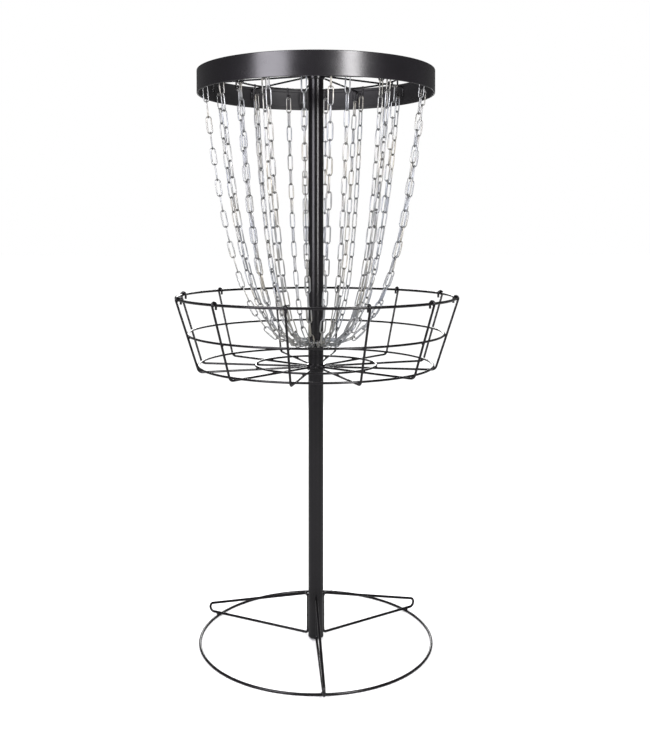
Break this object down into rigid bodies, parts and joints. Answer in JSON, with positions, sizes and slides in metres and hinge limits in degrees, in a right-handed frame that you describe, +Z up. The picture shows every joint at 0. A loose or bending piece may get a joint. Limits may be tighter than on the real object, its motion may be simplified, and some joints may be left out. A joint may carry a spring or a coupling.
{
  "type": "disc golf basket",
  "caption": "Free-standing disc golf target: a ringed foot and pole carry a wire basket, and chains hang from a banded top frame to a ring around the pole.",
  "frame": {"origin": "on the pole's axis, at the ground under the base ring", "axes": "+Z up along the pole; -Y along the front leg, +X to the right when facing the front"},
  "size_m": [0.6449, 0.645, 1.311],
  "materials": {
    "black_powder_coat": "semi-gloss black powder coat, slightly textured",
    "zinc_chain": "bright zinc plate",
    "coupler_steel": "plain steel, lightly oiled",
    "pole_plug": "matte black moulded plastic"
  },
  "bodies": {
    "stand": {"base_ring": "black_powder_coat", "front_leg": "black_powder_coat", "right_leg": "black_powder_coat", "left_leg": "black_powder_coat", "lower_pole": "black_powder_coat", "pole_coupler": "coupler_steel", "foot_plug": "pole_plug"},
    "basket": {"basket_bottom_ring": "black_powder_coat", "basket_floor_ring": "black_powder_coat", "basket_hub": "black_powder_coat", "basket_middle_ring": "black_powder_coat", "basket_rib_01": "black_powder_coat", "basket_rib_02": "black_powder_coat", "basket_rib_03": "black_powder_coat", "basket_rib_04": "black_powder_coat", "basket_rib_05": "black_powder_coat", "basket_rib_06": "black_powder_coat", "basket_rib_07": "black_powder_coat", "basket_rib_08": "black_powder_coat", "basket_rib_09": "black_powder_coat", "basket_rib_10": "black_powder_coat", "basket_rib_11": "black_powder_coat", "basket_rib_12": "black_powder_coat", "basket_rim": "black_powder_coat"},
    "top": {"upper_pole": "black_powder_coat", "top_cap": "pole_plug", "top_hub": "black_powder_coat", "top_ring": "black_powder_coat", "top_spokes": "black_powder_coat", "inner_hooks": "black_powder_coat", "outer_hooks": "black_powder_coat", "band": "black_powder_coat", "chain_ring": "zinc_chain"},
    "inner_chain_01": {"inner_chain_01": "zinc_chain"},
    "inner_chain_02": {"inner_chain_02": "zinc_chain"},
    "inner_chain_03": {"inner_chain_03": "zinc_chain"},
    "inner_chain_04": {"inner_chain_04": "zinc_chain"},
    "inner_chain_05": {"inner_chain_05": "zinc_chain"},
    "inner_chain_06": {"inner_chain_06": "zinc_chain"},
    "inner_chain_07": {"inner_chain_07": "zinc_chain"},
    "inner_chain_08": {"inner_chain_08": "zinc_chain"},
    "inner_chain_09": {"inner_chain_09": "zinc_chain"},
    "inner_chain_10": {"inner_chain_10": "zinc_chain"},
    "inner_chain_11": {"inner_chain_11": "zinc_chain"},
    "inner_chain_12": {"inner_chain_12": "zinc_chain"},
    "outer_chain_01": {"outer_chain_01": "zinc_chain"},
    "outer_chain_02": {"outer_chain_02": "zinc_chain"},
    "outer_chain_03": {"outer_chain_03": "zinc_chain"},
    "outer_chain_04": {"outer_chain_04": "zinc_chain"},
    "outer_chain_05": {"outer_chain_05": "zinc_chain"},
    "outer_chain_06": {"outer_chain_06": "zinc_chain"},
    "outer_chain_07": {"outer_chain_07": "zinc_chain"},
    "outer_chain_08": {"outer_chain_08": "zinc_chain"},
    "outer_chain_09": {"outer_chain_09": "zinc_chain"},
    "outer_chain_10": {"outer_chain_10": "zinc_chain"},
    "outer_chain_11": {"outer_chain_11": "zinc_chain"},
    "outer_chain_12": {"outer_chain_12": "zinc_chain"}
  },
  "joints": [
    {"name": "basket_lift", "type": "slide", "parent": "stand", "child": "basket", "axis": [0, 0, 1], "range_m": [0, 0.08]},
    {"name": "top_lift", "type": "slide", "parent": "basket", "child": "top", "axis": [0, 0, 1], "range_m": [0, 0.08]},
    {"name": "outer_chain_01_swing", "type": "hinge", "parent": "top", "child": "outer_chain_01", "pos_m": [0.02295, 0.00148, 0.692], "axis": [0.3668, 0.0237, 0.93], "range_deg": [-10, 10]},
    {"name": "outer_chain_02_swing", "type": "hinge", "parent": "top", "child": "outer_chain_02", "pos_m": [0.01913, 0.01276, 0.692], "axis": [0.3058, 0.2039, 0.93], "range_deg": [-10, 10]},
    {"name": "outer_chain_03_swing", "type": "hinge", "parent": "top", "child": "outer_chain_03", "pos_m": [0.01019, 0.02062, 0.692], "axis": [0.1628, 0.3295, 0.93], "range_deg": [-10, 10]},
    {"name": "outer_chain_04_swing", "type": "hinge", "parent": "top", "child": "outer_chain_04", "pos_m": [-0.00148, 0.02295, 0.692], "axis": [-0.0237, 0.3668, 0.93], "range_deg": [-10, 10]},
    {"name": "outer_chain_05_swing", "type": "hinge", "parent": "top", "child": "outer_chain_05", "pos_m": [-0.01276, 0.01913, 0.692], "axis": [-0.2039, 0.3058, 0.93], "range_deg": [-10, 10]},
    {"name": "outer_chain_06_swing", "type": "hinge", "parent": "top", "child": "outer_chain_06", "pos_m": [-0.02062, 0.01019, 0.692], "axis": [-0.3295, 0.1628, 0.93], "range_deg": [-10, 10]},
    {"name": "outer_chain_07_swing", "type": "hinge", "parent": "top", "child": "outer_chain_07", "pos_m": [-0.02295, -0.00148, 0.692], "axis": [-0.3668, -0.0237, 0.93], "range_deg": [-10, 10]},
    {"name": "outer_chain_08_swing", "type": "hinge", "parent": "top", "child": "outer_chain_08", "pos_m": [-0.01913, -0.01276, 0.692], "axis": [-0.3058, -0.2039, 0.93], "range_deg": [-10, 10]},
    {"name": "outer_chain_09_swing", "type": "hinge", "parent": "top", "child": "outer_chain_09", "pos_m": [-0.01019, -0.02062, 0.692], "axis": [-0.1628, -0.3295, 0.93], "range_deg": [-10, 10]},
    {"name": "outer_chain_10_swing", "type": "hinge", "parent": "top", "child": "outer_chain_10", "pos_m": [0.00148, -0.02295, 0.692], "axis": [0.0237, -0.3668, 0.93], "range_deg": [-10, 10]},
    {"name": "outer_chain_11_swing", "type": "hinge", "parent": "top", "child": "outer_chain_11", "pos_m": [0.01276, -0.01913, 0.692], "axis": [0.2039, -0.3058, 0.93], "range_deg": [-10, 10]},
    {"name": "outer_chain_12_swing", "type": "hinge", "parent": "top", "child": "outer_chain_12", "pos_m": [0.02062, -0.01019, 0.692], "axis": [0.3295, -0.1628, 0.93], "range_deg": [-10, 10]},
    {"name": "inner_chain_01_swing", "type": "hinge", "parent": "top", "child": "inner_chain_01", "pos_m": [0.02179, 0.00737, 0.692], "axis": [0.2478, 0.0839, 0.9652], "range_deg": [-10, 10]},
    {"name": "inner_chain_02_swing", "type": "hinge", "parent": "top", "child": "inner_chain_02", "pos_m": [0.01518, 0.01728, 0.692], "axis": [0.1726, 0.1965, 0.9652], "range_deg": [-10, 10]},
    {"name": "inner_chain_03_swing", "type": "hinge", "parent": "top", "child": "inner_chain_03", "pos_m": [0.00451, 0.02255, 0.692], "axis": [0.0513, 0.2565, 0.9652], "range_deg": [-10, 10]},
    {"name": "inner_chain_04_swing", "type": "hinge", "parent": "top", "child": "inner_chain_04", "pos_m": [-0.00737, 0.02179, 0.692], "axis": [-0.0839, 0.2478, 0.9652], "range_deg": [-10, 10]},
    {"name": "inner_chain_05_swing", "type": "hinge", "parent": "top", "child": "inner_chain_05", "pos_m": [-0.01728, 0.01518, 0.692], "axis": [-0.1965, 0.1726, 0.9652], "range_deg": [-10, 10]},
    {"name": "inner_chain_06_swing", "type": "hinge", "parent": "top", "child": "inner_chain_06", "pos_m": [-0.02255, 0.00451, 0.692], "axis": [-0.2565, 0.0513, 0.9652], "range_deg": [-10, 10]},
    {"name": "inner_chain_07_swing", "type": "hinge", "parent": "top", "child": "inner_chain_07", "pos_m": [-0.02179, -0.00737, 0.692], "axis": [-0.2478, -0.0839, 0.9652], "range_deg": [-10, 10]},
    {"name": "inner_chain_08_swing", "type": "hinge", "parent": "top", "child": "inner_chain_08", "pos_m": [-0.01518, -0.01728, 0.692], "axis": [-0.1726, -0.1965, 0.9652], "range_deg": [-10, 10]},
    {"name": "inner_chain_09_swing", "type": "hinge", "parent": "top", "child": "inner_chain_09", "pos_m": [-0.00451, -0.02255, 0.692], "axis": [-0.0513, -0.2565, 0.9652], "range_deg": [-10, 10]},
    {"name": "inner_chain_10_swing", "type": "hinge", "parent": "top", "child": "inner_chain_10", "pos_m": [0.00737, -0.02179, 0.692], "axis": [0.0839, -0.2478, 0.9652], "range_deg": [-10, 10]},
    {"name": "inner_chain_11_swing", "type": "hinge", "parent": "top", "child": "inner_chain_11", "pos_m": [0.01728, -0.01518, 0.692], "axis": [0.1965, -0.1726, 0.9652], "range_deg": [-10, 10]},
    {"name": "inner_chain_12_swing", "type": "hinge", "parent": "top", "child": "inner_chain_12", "pos_m": [0.02255, -0.00451, 0.692], "axis": [0.2565, -0.0513, 0.9652], "range_deg": [-10, 10]}
  ]
}
